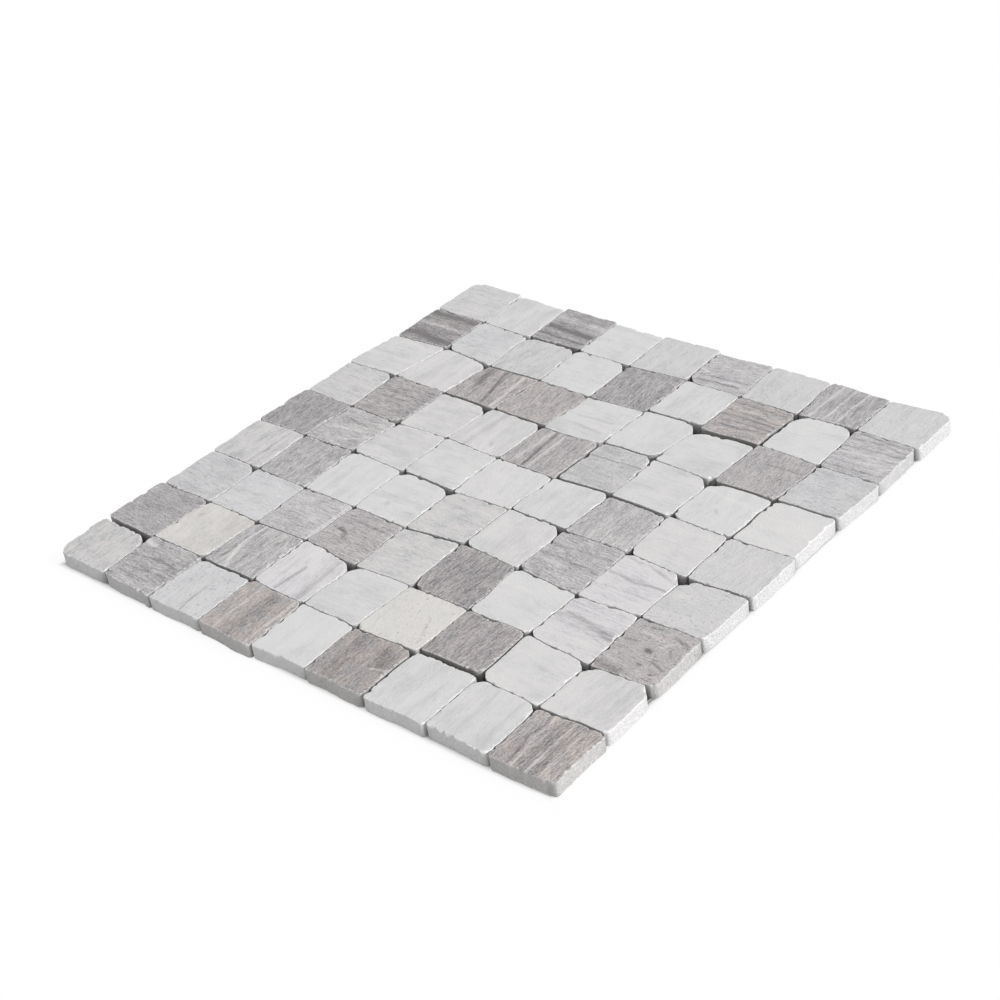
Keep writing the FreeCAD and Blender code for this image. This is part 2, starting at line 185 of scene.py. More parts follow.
# Veins, streaks and spots that stand out: (column, row) to strokes, each (shade, x0, y0, x1, y1,
# width). Shade is above 0 for paler and below 0 for darker. Places run from -1 to 1 across the tile
# and the width is in millimetres.
STROKES = {
    (1, 0): (
        (0.8, -0.95, 0.8, -0.6, 0.7, 1.6), (0.5, -0.4, -0.75, 0.1, -0.8, 1.3),
        (-0.6, -0.9, 0.1, 0.0, 0.3, 0.6), (-0.6, 0.0, 0.3, 0.9, 0.2, 0.6),
        (-0.5, -0.3, -0.3, 0.8, -0.2, 0.6), (0.4, -0.8, -0.1, 0.3, 0.05, 0.6),
    ),
    (2, 0): ((-0.7, 0.1, 0.2, 0.25, -1.0, 0.7), (-0.5, 0.4, 0.2, 0.2, 0.1, 0.6)),
    (3, 0): (
        (-0.3, 0.1, 1.0, 0.15, -1.0, 4.5), (0.4, -0.45, 1.0, -0.4, -1.0, 0.8),
        (0.5, 0.75, 0.9, 0.8, -1.0, 0.7),
    ),
    (5, 0): (
        (-0.35, 0.45, 0.6, 0.65, 0.1, 3.6), (0.5, 0.5, -0.1, 0.95, 0.1, 0.6),
        (-0.25, -0.5, 0.9, -0.3, -0.9, 3.0),
    ),
    (8, 0): (
        (-0.45, -0.5, 0.8, -0.52, 0.0, 0.55), (-0.5, -0.52, 0.0, -0.38, -1.0, 0.55),
        (0.6, -0.4, 1.0, -0.4, 0.1, 0.45), (0.6, -0.4, 0.1, -0.26, -1.0, 0.45),
        (-0.5, 0.0, 1.0, -0.03, 0.1, 0.5), (-0.5, -0.03, 0.1, 0.04, -1.0, 0.5),
        (0.6, 0.13, 1.0, 0.16, -1.0, 0.45), (-0.4, 0.42, 1.0, 0.38, -1.0, 0.5),
        (0.5, 0.54, 0.8, 0.5, -1.0, 0.45), (-0.35, -0.15, 1.0, -0.12, -1.0, 0.5),
        (-0.35, 0.28, 1.0, 0.3, -1.0, 0.45),
    ),
    (1, 1): ((-0.5, -0.6, 0.4, -0.55, 0.5, 0.8), (-0.4, -0.65, -0.1, -0.6, -0.15, 0.8)),
    (2, 1): (
        (1.0, -0.5, 1.0, -0.55, 0.3, 0.7), (1.0, -0.55, 0.3, -0.45, -0.3, 0.7),
        (1.0, -0.45, -0.3, -0.15, -1.0, 0.8), (-0.5, -0.6, 1.0, -0.6, -0.6, 0.8),
        (-0.4, 0.0, 0.5, 0.05, -1.0, 0.8), (-0.5, 0.85, -0.3, 0.9, -1.0, 0.6),
    ),
    (3, 1): (
        (-0.4, -0.1, 0.1, -0.15, -0.9, 1.0), (0.15, -0.3, 0.9, 0.1, 0.2, 3.0),
        (-0.3, 0.5, 1.0, 0.7, -1.0, 3.2),
    ),
    (5, 1): (
        (-0.6, 0.5, 0.0, 0.7, -0.4, 0.7), (-0.5, 0.3, 0.3, 0.5, 0.1, 0.5),
        (-0.5, 0.75, -0.5, 0.8, -0.7, 0.6),
    ),
    (2, 2): ((0.8, 0.9, 1.0, 0.9, -1.0, 0.6),),
    (3, 2): (
        (-0.8, -0.6, 0.05, -0.2, -0.1, 0.8), (-0.5, -0.3, -0.1, -0.2, -0.3, 0.8),
        (-0.4, -0.3, 0.55, 0.6, 0.45, 1.2),
    ),
    (7, 2): (
        (-0.32, -1.0, 0.1, -0.3, 0.22, 2.0), (-0.34, -0.3, 0.22, 1.0, -0.02, 2.6),
        (-0.5, -0.7, 0.3, 0.9, 0.05, 0.6), (-0.45, 0.0, 0.1, 1.0, -0.1, 0.6),
        (-0.25, -0.9, -0.1, 0.1, -0.05, 0.5), (-0.25, 0.0, -0.05, 0.9, -0.3, 0.6),
        (-0.2, -1.0, 0.7, 0.6, 0.75, 0.6),
    ),
    (8, 2): (
        (-1.2, -0.03, 0.05, 0.05, 0.05, 1.3), (-1.0, 0.1, -0.45, 0.14, -0.45, 0.8),
        (-0.6, -0.85, -0.8, -0.2, -0.9, 2.4), (0.3, -0.8, -0.55, -0.1, -0.62, 0.6),
        (-0.6, 0.5, 0.3, 0.65, 0.15, 0.6), (-0.5, -0.9, 0.15, -0.4, 0.25, 0.6),
        (-0.6, 0.3, 0.75, 0.8, 0.6, 0.6), (0.5, -0.6, 0.6, 0.1, 0.5, 0.7),
        (-0.6, 0.35, -0.2, 0.8, -0.35, 0.6), (-0.6, -0.5, 0.8, -0.2, 0.85, 0.6),
        (-0.5, 0.6, -0.6, 0.75, -0.5, 0.7), (0.5, 0.2, 0.3, 0.4, 0.5, 0.9),
    ),
    (0, 3): ((-0.5, 0.45, 1.0, 0.5, -1.0, 0.7), (-0.3, -0.1, 0.6, -0.1, -1.0, 0.9)),
    (3, 3): ((-0.5, -0.3, -0.35, -0.2, -0.4, 1.4), (-0.5, 0.45, -0.5, 0.75, -0.45, 0.6)),
    (6, 3): (
        (-0.5, -0.9, 0.0, 0.9, -0.1, 0.9), (-0.4, -0.9, 0.4, 0.9, 0.5, 0.8),
        (0.4, -0.9, -0.25, 0.9, -0.3, 0.8),
    ),
    (7, 3): (
        (-0.35, -1.0, 0.9, 0.0, 0.8, 0.6), (-0.35, 0.0, 0.8, 1.0, 0.5, 0.7),
        (-0.35, -0.9, 0.2, 0.0, 0.1, 0.8), (-0.35, 0.0, 0.1, 0.9, 0.2, 0.8),
        (-0.2, -0.7, -0.35, 0.8, -0.3, 0.5),
    ),
    (1, 4): (
        (0.45, -0.8, -0.2, 0.5, 0.0, 0.8), (-0.4, -0.9, 0.5, 0.3, 0.3, 1.0),
        (0.4, 0.2, -0.6, 0.9, -0.1, 0.8),
    ),
    (3, 5): ((-0.5, 0.3, -0.5, 0.35, -0.6, 0.9), (-0.3, -0.3, 0.9, -0.4, -0.9, 1.6)),
    (4, 5): (
        (0.6, -0.5, 1.0, -0.55, -0.7, 1.0), (-0.8, -0.35, 0.9, -0.2, -0.9, 0.8),
        (0.6, -0.05, 0.8, 0.0, -0.9, 1.0),
    ),
    (5, 5): ((-0.8, -0.9, 0.35, 0.9, 0.4, 0.45),),
    (7, 5): ((-0.5, -0.1, -0.1, 0.1, -0.3, 0.6), (0.4, -0.8, 0.6, 0.9, 0.4, 1.2)),
    (2, 6): (
        (0.9, 0.55, 0.9, 0.7, -0.9, 1.0), (-0.7, -0.1, 0.9, 0.3, -0.9, 0.9),
        (-0.6, -0.6, 0.8, -0.5, 0.0, 2.5),
    ),
    (4, 6): ((-0.4, -0.5, 0.0, 0.6, 0.1, 1.0), (-0.4, -0.4, -0.4, 0.6, -0.5, 1.0)),
    (7, 6): ((-0.5, -0.2, 0.3, 0.9, 0.35, 0.45),),
    (0, 7): (
        (0.5, -0.9, 0.1, 0.9, 0.15, 1.6), (-0.7, -1.0, -0.55, 1.0, -0.6, 2.4),
        (-0.5, -1.0, 0.75, 1.0, 0.7, 2.4),
    ),
    (6, 7): (
        (-0.35, -0.9, 0.05, 0.9, 0.0, 0.8), (0.25, -0.9, 0.5, 0.9, 0.4, 1.6),
        (-0.35, -0.9, -0.55, 0.9, -0.4, 1.0), (-0.3, -0.9, 0.75, 0.9, 0.7, 0.7),
        (-0.3, -0.9, -0.25, 0.9, -0.2, 0.6), (-0.3, -0.9, 0.3, 0.9, 0.2, 0.6),
    ),
    (8, 7): (
        (-0.6, -0.8, 0.88, 1.0, 0.8, 0.6), (-0.45, -1.0, 0.55, 0.0, 0.7, 0.6),
        (-0.45, 0.0, 0.7, 1.0, 0.5, 0.6), (0.5, -1.0, -0.1, 1.0, 0.15, 0.8),
        (0.6, -1.0, -0.4, 1.0, -0.25, 0.7), (-0.35, -0.9, 0.2, 0.9, 0.35, 0.6),
        (-0.4, -0.9, -0.8, 0.9, -0.7, 0.7),
    ),
    (2, 8): (
        (-0.9, -1.0, -0.1, 1.0, -0.25, 2.2), (0.4, -1.0, 0.4, 1.0, 0.35, 2.4),
        (-0.6, -1.0, -0.6, 1.0, -0.7, 1.0),
    ),
    (5, 8): ((-0.9, -0.7, -0.7, 0.7, -0.65, 0.8), (-0.5, -0.8, -0.4, 0.8, -0.35, 0.9)),
    (7, 8): (
        (0.7, -0.55, 1.0, -0.6, -0.9, 0.7), (0.7, -0.1, 1.0, -0.15, -1.0, 0.6),
        (0.7, 0.3, 1.0, 0.25, -1.0, 0.6),
    ),
}


def linear(hex_colour):
    """A colour written as sRGB hex, as linear red, green, blue and 1."""
    parts = [int(hex_colour[k:k + 2], 16) / 255.0 for k in (1, 3, 5)]
    return tuple(c / 12.92 if c <= 0.04045 else ((c + 0.055) / 1.055) ** 2.4 for c in parts) + (1.0,)


def lattice(i, j, k, seed):
    """A repeatable number from -1 to 1 for each whole-number place."""
    mixed = (i * 374761393 + j * 668265263 + k * 1440662683 + seed * 362437) & 0xFFFFFFFF
    mixed = ((mixed ^ (mixed >> 13)) * 1274126177) & 0xFFFFFFFF
    return ((mixed ^ (mixed >> 16)) & 0xFFFFFFFF) / 2147483648.0 - 1.0


def lumps(points, size, seed):
    """Smooth random lumps of one size: numbers on a cubic lattice, blended between its corners."""
    scaled = points / size
    cell = np.floor(scaled).astype(np.int64)
    part = scaled - cell
    part = part * part * (3.0 - 2.0 * part)
    total = np.zeros(points.shape[:-1])
    for corner in ((0, 0, 0), (1, 0, 0), (0, 1, 0), (1, 1, 0), (0, 0, 1), (1, 0, 1), (0, 1, 1), (1, 1, 1)):
        weight = np.ones(points.shape[:-1])
        for axis in range(3):
            share = part[..., axis]
            weight = weight * (share if corner[axis] else 1.0 - share)
        place = [cell[..., axis] + corner[axis] for axis in range(3)]
        total = total + weight * lattice(place[0], place[1], place[2], seed)
    return total


def rough(points, size, seed, layers=3):
    """Lumps with finer lumps on them, each layer half the size and about half the height."""
    total = np.zeros(points.shape[:-1])
    for layer in range(layers):
        total = total + lumps(points, size / 2.0 ** layer, seed + 17 * layer) * 0.55 ** layer
    return total


# Reading the CAD tiles and threads

def node_surface(name):
    """A CAD node's corners in millimetres, merged where they meet, and its triangles."""
    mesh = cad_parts[name].data
    corners = np.empty(len(mesh.vertices) * 3)
    mesh.vertices.foreach_get("co", corners)
    mesh.calc_loop_triangles()
    triangles = np.empty(len(mesh.loop_triangles) * 3, dtype=np.int32)
    mesh.loop_triangles.foreach_get("vertices", triangles)
    rounded = np.round(corners.reshape(-1, 3) / MM, 3)
    merged, index = np.unique(rounded, axis=0, return_inverse=True)
    return merged, index.reshape(-1)[triangles].reshape(-1, 3)


def solid_labels(count, triangles):
    """A label for each corner, the same all over one solid: the lowest one spreads to neighbours."""
    label = np.arange(count)
    while True:
        lowest = label[triangles].min(axis=1)
        new = label.copy()
        np.minimum.at(new, triangles.reshape(-1), np.repeat(lowest, 3))
        if (new == label).all():
            return label
        label = new


def cad_solids(name):
    """The corners of each solid of a CAD node, in millimetres."""
    corners, triangles = node_surface(name)
    label = solid_labels(len(corners), triangles)
    return [corners[label == one] for one in np.unique(label)]


def cad_tiles(name):
    """The tiles of a CAD node: each one's column, row, middle, outline about it, and heights."""
    low, high = cad_box
    pitch = ((high[0] - low[0]) / COLUMNS / MM, (high[1] - low[1]) / ROWS / MM)
    tiles = []
    for points in cad_solids(name):
        bottom = points[:, 2].min()
        ring = points[points[:, 2] < bottom + 0.01][:, :2]
        middle = (ring.min(axis=0) + ring.max(axis=0)) / 2.0
        ring = ring - middle
        ring = ring[np.argsort(np.arctan2(ring[:, 1], ring[:, 0]))]
        tiles.append({
            "column": int((middle[0] - low[0] / MM) / pitch[0]),
            "row": int((middle[1] - low[1] / MM) / pitch[1]),
            "middle": middle,
            "outline": ring,
            "bottom": bottom,
            "top": points[:, 2].max(),
        })
    return tiles


def outline_reach(outline, angle):
    """How far the outline lies from its middle in each direction: where a ray crosses a side."""
    ray = np.stack([np.cos(angle), np.sin(angle)], axis=-1)[..., None, :]
    run = np.roll(outline, -1, axis=0) - outline
    crossed = ray[..., 0] * run[:, 1] - ray[..., 1] * run[:, 0]
    crossed = np.where(np.abs(crossed) < 1e-9, 1e-9, crossed)
    reach = (outline[:, 0] * run[:, 1] - outline[:, 1] * run[:, 0]) / crossed
    along = (outline[:, 0] * ray[..., 1] - outline[:, 1] * ray[..., 0]) / crossed
    meets = (reach > 0) & (along > -1e-6) & (along < 1 + 1e-6)
    return np.where(meets, reach, 0.0).max(axis=-1)


# Tiles

def square_grid():
    """A square grid from -1 to 1."""
    even = np.linspace(-1.0, 1.0, TOP_STEPS + 1)
    return (grid.reshape(-1) for grid in np.meshgrid(even, even, indexing="ij"))


def rim_order():
    """The grid's rim points in order, anticlockwise from the front left corner."""
    index = np.arange((TOP_STEPS + 1) ** 2).reshape(TOP_STEPS + 1, TOP_STEPS + 1)
    return np.concatenate([index[:-1, 0], index[-1, :-1], index[:0:-1, -1], index[0, :0:-1]])


def tile_faces():
    """The quads of a tile's top, arris and walls, and its back's triangles, as corner numbers."""
    index = np.arange((TOP_STEPS + 1) ** 2).reshape(TOP_STEPS + 1, TOP_STEPS + 1)
    top = np.stack([index[:-1, :-1], index[1:, :-1], index[1:, 1:], index[:-1, 1:]], axis=-1)
    rim = rim_order()
    around = len(rim)
    count = len(ARRIS_STEPS) + len(WALL_STEPS)
    rings = [rim] + [index.size + around * k + np.arange(around) for k in range(count)]
    bands = []
    for upper, lower in zip(rings, rings[1:]):
        bands.append(np.stack([upper, lower, np.roll(lower, -1), np.roll(upper, -1)], axis=-1))
    hub = np.full(around, index.size + around * count)
    back = np.stack([rings[-1], hub, np.roll(rings[-1], -1)], axis=-1)
    return np.concatenate([top.reshape(-1, 4)] + bands), back


def bites(along, length, luck):
    """How deep the rim is bitten at each place along it: the deepest of many parabolas."""
    where = luck.uniform(0.0, length, BITES)
    half = luck.uniform(*BITE_HALVES, BITES)
    deep = BITE_LEAST + BITE_MORE * luck.random(BITES) ** BITE_RARITY
    apart = np.abs(along[:, None] - where)
    apart = np.minimum(apart, length - apart)
    return (deep * np.clip(1.0 - (apart / half) ** 2, 0.0, None)).max(axis=1)


def outer_edge(tile, heading):
    """1 where a tile's side is on the sheet's outer edge, and 0 where it faces another tile."""
    faces = np.zeros(len(heading))
    for on_edge, away in (
        (tile["column"] == 0, -heading[:, 0]),
        (tile["column"] == COLUMNS - 1, heading[:, 0]),
        (tile["row"] == 0, -heading[:, 1]),
        (tile["row"] == ROWS - 1, heading[:, 1]),
    ):
        if on_edge:
            faces = np.maximum(faces, np.clip((away - 0.6) / 0.2, 0.0, 1.0))
    return faces


def worn_rim(tile, luck):
    """The worn top edge by direction: how far it stands in, and its arris's width and depth."""
    a, b = square_grid()
    order = rim_order()
    angle = np.arctan2(b[order], a[order])
    heading = np.stack([np.cos(angle), np.sin(angle)], axis=-1)
    inner = 1.0 - outer_edge(tile, heading)
    outer = 1.0 - inner
    reach = outline_reach(tile["outline"], angle) + INNER_SWELL * inner
    rim = np.column_stack([heading * reach[:, None], np.full(len(angle), luck.uniform(0, 500))])
    step = np.linalg.norm(np.roll(rim, -1, axis=0) - rim, axis=1)
    bite = bites(np.cumsum(step) - step, step.sum(), luck)
    nick = NICKS * np.clip(rough(rim, 2.2, NICK_SEED, 2) - 0.3, 0.0, None)
    wander = RIM_WANDER * (1.0 + 0.9 * rough(rim, 8.0, RIM_WANDER_SEED, 2))
    width = ARRIS_WIDTH * (1.0 + (OUTER_WIDTH - 1.0) * outer)
    depth = ARRIS_DEPTH * (1.0 + (OUTER_DEPTH - 1.0) * outer)
    return {
        "angle": angle,
        "heading": heading,
        "inner": inner,
        "reach": reach,
        "loss": wander + nick + 0.6 * bite,
        "width": width * (1.0 + 0.5 * rough(rim, 3.5, ARRIS_WIDTH_SEED, 2)) + 0.6 * bite,
        "depth": depth * (1.0 + 0.5 * rough(rim, 3.0, ARRIS_DEPTH_SEED, 2)) + 0.5 * nick + 0.7 * bite,
    }


def stroke_shade(tile, x, y):
    """Paler and darker strokes over a tile: exp(-(d / width)^2) of the distance from a wobbly segment."""
    shade = np.zeros_like(x)
    half = np.abs(tile["outline"]).max(axis=0)
    flat = np.stack([x, y, np.full_like(x, 3.0 * tile["column"] + 40.0 * tile["row"])], axis=-1)
    wobbly_x = x + STROKE_WOBBLE * rough(flat, 9.0, WOBBLE_X_SEED)
    wobbly_y = y + STROKE_WOBBLE * rough(flat, 9.0, WOBBLE_Y_SEED)
    for strength, x0, y0, x1, y1, width in STROKES.get((tile["column"], tile["row"]), ()):
        start = np.array([x0 * half[0], y0 * half[1]])
        run = np.array([x1 * half[0], y1 * half[1]]) - start
        px = wobbly_x - start[0]
        py = wobbly_y - start[1]
        along = np.clip((px * run[0] + py * run[1]) / (run @ run), 0.0, 1.0)
        apart = np.hypot(px - along * run[0], py - along * run[1])
        mark = strength * np.exp(-(apart / width) ** 2)
        shade = np.where(np.abs(mark) > np.abs(shade), mark, shade)
    return shade


def quarry_place(tile, points, luck):
    """Where the tile's stone lay in its block: turned so that its grain runs along X, and moved off."""
    turn = 0.0 if GRAIN_PLAN[tile["row"] % ROWS][tile["column"] % COLUMNS] == "h" else math.pi / 2.0
    turn = turn + math.radians(luck.uniform(-5.0, 5.0))
    dip = math.radians(luck.uniform(-35.0, 35.0))
    about_z = np.array(Matrix.Rotation(-turn, 3, "Z"))
    about_x = np.array(Matrix.Rotation(-dip, 3, "X"))
    return points @ (about_x @ about_z).T + luck.uniform(-900.0, 900.0, 3)


def tile_top(tile, rim, off, luck):
    """The corners of a tile's top and arris, and how worn and how much like a side each one is.

    The top is a grid of square rings stretched to the worn rim, which lies inside the CAD outline.
    Rings then carry it down the arris, whose fall grows as the 1.4th power of the way out.
    """
    spread = np.abs(rim["heading"]).max(axis=1)
    a, b = square_grid()
    ring = np.maximum(np.abs(a), np.abs(b))
    angle = np.arctan2(b, a)
    reach = outline_reach(tile["outline"], angle)
    order = np.argsort(rim["angle"])
    drawn_in = ((rim["loss"] + 1.5 * rim["width"]) / spread)[order]
    drawn_in = np.interp(angle, rim["angle"][order], drawn_in, period=2.0 * math.pi)
    radius = ring * reach - ring ** 5 * drawn_in
    flat = [np.stack([radius * np.cos(angle), radius * np.sin(angle)], axis=-1)]
    fall = [np.zeros(len(a))]
    worn = [np.clip(1.0 - (1.0 - ring) * reach / CHIPPED_BORDER, 0.0, 1.0)]
    beside = [np.zeros(len(a))]
    for out in ARRIS_STEPS:
        radius = rim["reach"] - (rim["loss"] + out * rim["width"]) / spread
        flat.append(rim["heading"] * radius[:, None])
        fall.append(rim["depth"] * np.clip(1.0 - out, 0.0, 1.0) ** 1.4)
        worn.append(np.ones(len(radius)))
        beside.append((1.0 - rim["inner"]) * (1.0 - out / ARRIS_STEPS[0]))
    flat = np.concatenate(flat)
    here = np.column_stack([flat, np.zeros(len(flat))]) + off
    lean = luck.uniform(-LEAN, LEAN, 2)
    swell = TOP_SWELL * (1.0 + lumps(here, 10.0, TOP_SWELL_SEED))
    sink = luck.uniform(*TOP_SINK) + swell + TOP_GRAIN * (1.0 + lumps(here, 1.6, TOP_GRAIN_SEED))
    height = tile["top"] - sink - np.concatenate(fall) - np.abs(flat @ lean)
    return np.column_stack([flat, height]), np.concatenate(worn), np.concatenate(beside)


def tile_walls(tile, rim, edge, off):
    """Rings down a tile's walls from its edge, which wander inwards and draw in at the foot."""
    radius = np.linalg.norm(edge[:, :2], axis=1)
    walls = []
    for share in WALL_STEPS:
        z = edge[:, 2] + (tile["bottom"] - edge[:, 2]) * share
        here = np.column_stack([edge[:, :2], z]) + off
        broken = WALL_LOSS * (1.0 + rough(here, 3.0, WALL_LOSS_SEED))
        broken = (broken + WALL_GRIT * lumps(here, 1.1, WALL_GRIT_SEED)) * min(1.0, 4.0 * share)
        at_foot = np.clip((share - 0.9) / 0.1, 0.0, 1.0)
        foot = FOOT_WEAR * (1.0 + 0.5 * lumps(here, 4.0, FOOT_SEED)) * at_foot
        regained = 0.5 * min(1.0, 6.0 * share) * (rim["reach"] - radius)
        out = radius + regained - broken - foot
        walls.append(np.column_stack([rim["heading"] * out[:, None], z]))
    return np.concatenate(walls)


def tile_warmth(at, luck):
    """How warm the stone of the tile at a column and row is."""
    if at in COOL:
        return 0.0
    return PLAINLY_WARM if at in WARM else luck.uniform(*MIXED_WARMTH)


def tile_surface(tile):
    """One tumbled tile as a closed surface with a flat back, and what its material reads.

    The material reads where in the quarry each corner lay, in millimetres, how worn it is, how much
    like a side, how much painted shade darkens it in a joint, its stroke, and whether it is on the
    back. The tile's shade, warmth and pits are the same all over it.
    """
    at = (tile["column"], tile["row"])
    luck = np.random.default_rng([SEED, *at])
    rim = worn_rim(tile, luck)
    off = luck.uniform(0, 500, 3)
    top, worn, beside = tile_top(tile, rim, off, luck)
    around = len(rim["heading"])
    walls = tile_walls(tile, rim, top[-around:], off)
    points = np.concatenate([top, walls, [[0.0, 0.0, tile["bottom"]]]])
    count = len(points)
    below = np.ones(count - len(top))
    # Painted shade on the walls between tiles: none on the sheet's outer sides, darker towards the foot
    grime = [rim["inner"] * share ** 0.8 for share in WALL_STEPS]
    behind = np.zeros(count)
    behind[-around - 1:] = 1.0
    return {
        "points": points + np.array([tile["middle"][0], tile["middle"][1], 0.0]),
        "quarry_place": quarry_place(tile, points, luck),
        "worn": np.concatenate([worn, below]),
        "beside": np.concatenate([beside, below]),
        "grime": np.concatenate([np.zeros(len(top))] + grime + [[0.0]]),
        "stroke": stroke_shade(tile, points[:, 0], points[:, 1]),
        "behind": behind,
        "shade": np.full(count, SHADES.get(at, luck.uniform(-0.4, 0.5))),
        "warmth": np.full(count, tile_warmth(at, luck)),
        "pitted": np.full(count, PITTED.get(at, luck.uniform(0.0, 0.25))),
    }


# Net

def yarn_faces(across):
    """The quads round a yarn and the triangles of its ends, as corner numbers."""
    ring = np.arange(YARN_STATIONS)[:, None] * YARN_POINTS + np.arange(YARN_POINTS)
    turned = np.roll(ring, -1, axis=1)
    quads = np.stack([ring[:-1], turned[:-1], turned[1:], ring[1:]], axis=-1).reshape(-1, 4)
    first, last = ring[0], ring[-1]
    ends = [(first[0], first[k + 1], first[k]) for k in range(1, YARN_POINTS - 1)]
    ends = np.array(ends + [(last[0], last[k], last[k + 1]) for k in range(1, YARN_POINTS - 1)])
    return (quads[:, ::-1], ends[:, ::-1]) if across else (quads, ends)


def yarn_surface(number, thread, across):
    """One yarn of the net, along X, or along Y where `across` is true, and its place for filaments.

    It is a flattened ring of points carried along the CAD thread, wandering a little sideways and
    swelling and thinning with the resin.
    """
    low, high = thread.min(axis=0), thread.max(axis=0)
    run, side = (1, 0) if across else (0, 1)
    width, thickness = high[side] - low[side], high[2] - low[2]
    turn = np.linspace(0.0, 2.0 * math.pi, YARN_POINTS + 1)[:-1] + math.pi / YARN_POINTS
    along = np.linspace(low[run], high[run], YARN_STATIONS)
    spot = np.stack([along, np.full(YARN_STATIONS, 9.0 * number), np.zeros(YARN_STATIONS)], axis=-1)
    half = width / 2.0 * (0.86 + 0.12 * rough(spot, 6.0, YARN_WIDTH_SEED, 2))
    sway = 0.06 * width * rough(spot, 14.0, YARN_SWAY_SEED, 2)
    flattened = np.sign(np.cos(turn)) * np.abs(np.cos(turn)) ** 0.7
    wide = (low[side] + high[side]) / 2.0 + sway[:, None] + half[:, None] * flattened
    tall = (low[2] + high[2]) / 2.0 + thickness / 2.0 * np.sin(turn) / np.sin(turn).max()
    tall = np.broadcast_to(tall, wide.shape)
    long = np.broadcast_to(along[:, None], wide.shape)
    points = np.empty(wide.shape + (3,))
    points[..., run] = long
    points[..., side] = wide
    points[..., 2] = tall
    place = np.stack([long + 311.0 * number, wide, tall], axis=-1)
    return {"points": points.reshape(-1, 3), "yarn_place": place.reshape(-1, 3)}


# Pieces

def mesh_object(name, points, quads, triangles, attributes, material):
    """A mesh object at the origin, in metres, from arrays of corners, quads and triangles."""
    mesh = bpy.data.meshes.new(name)
    loops = np.concatenate([quads.reshape(-1), triangles.reshape(-1)]).astype(np.int32)
    sizes = np.concatenate([np.full(len(quads), 4), np.full(len(triangles), 3)]).astype(np.int32)
    starts = (np.cumsum(sizes) - sizes).astype(np.int32)
    mesh.vertices.add(len(points))
    mesh.loops.add(len(loops))
    mesh.polygons.add(len(sizes))
    mesh.vertices.foreach_set("co", (points * MM).astype(np.float32).reshape(-1))
    mesh.loops.foreach_set("vertex_index", loops)
    mesh.polygons.foreach_set("loop_start", starts)
    mesh.polygons.foreach_set("use_smooth", sizes == 4)
    for key, values in attributes.items():
        vector = values.ndim == 2
        layer = mesh.attributes.new(key, "FLOAT_VECTOR" if vector else "FLOAT", "POINT")
        layer.data.foreach_set("vector" if vector else "value", values.astype(np.float32).reshape(-1))
    mesh.update()
    mesh.validate()
    mesh.materials.append(material)
    thing = bpy.data.objects.new(name, mesh)
    bpy.context.scene.collection.objects.link(thing)
    return thing


def joined_piece(name, node, surfaces, faces, material):
    """Surfaces with the same faces as one piece, which stands for their CAD node."""
    quads, triangles = faces
    joined = {key: np.concatenate([surface[key] for surface in surfaces]) for key in surfaces[0]}
    points = joined.pop("points")
    offsets = np.arange(len(surfaces))[:, None, None] * (len(points) // len(surfaces))
    quads = (quads[None] + offsets).reshape(-1, 4)
    triangles = (triangles[None] + offsets).reshape(-1, 3)
    piece = mesh_object(name, points, quads, triangles, joined, material)
    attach(piece, "root")
    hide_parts(node)


# Materials

def draw_stops(elements, stops):
    """Puts (level, colour) stops on a ramp, which has two elements to start with."""
    elements[0].position = stops[0][0]
    elements[1].position = stops[-1][0]
    for stop in stops[1:-1]:
        elements.new(stop[0])
    for element, stop in zip(elements, stops):
        element.color = stop[1]


def greys(steps):
    """Stops of a ramp from (level, grey value) steps."""
    return [(level, (grey, grey, grey, 1.0)) for level, grey in steps]


def add(tree, kind, settings=None, links=None):
    """A shader node of one kind, with values set on it or its sockets, and sockets fed by others.

    Sockets that share a name go by number. A colour Mix has its share at 0, its two colours at 6
    and 7 and its result at 2. A Map Range has its value at 0, and its old and new range at 1 to 4.
    """
    node = tree.nodes.new("ShaderNode" + kind)
    for key, value in (settings or {}).items():
        if key == "stops":
            draw_stops(node.color_ramp.elements, value)
        elif isinstance(key, str) and hasattr(node, key):
            setattr(node, key, value)
        else:
            node.inputs[key].default_value = value
    for key, source in (links or {}).items():
        tree.links.new(source, node.inputs[key])
    return node


def new_material(name):
    """A material with an empty tree, and its output node."""
    material = bpy.data.materials.new(name)
    material.use_nodes = True
    material.node_tree.nodes.clear()
    return material, material.node_tree, add(material.node_tree, "OutputMaterial")


def weigh(tree, parts):
    """Patterns added together, each centred on zero and multiplied by its weight."""
    total = None
    for source, weight in parts:
        centred = add(tree, "Math", {"operation": "SUBTRACT", 1: 0.5}, {0: source})
        links = {0: centred.outputs[0]}
        if total is not None:
            links[2] = total
        total = add(tree, "Math", {"operation": "MULTIPLY_ADD", 1: weight, 2: 0.0}, links).outputs[0]
    return total


def grain(tree, place, along, across, deep=2.5):
    """Noise drawn out along the grain: its lumps' sizes along and across it, and how much deeper."""
    squeezed = add(tree, "Mapping", {"Scale": (across / along, 1.0, 1.0 / deep)}, {"Vector": place})
    settings = {"Scale": 1.0 / across, "Detail": 3.0, "Roughness": 0.6}
    return add(tree, "TexNoise", settings, {"Vector": squeezed.outputs[0]}).outputs[0]


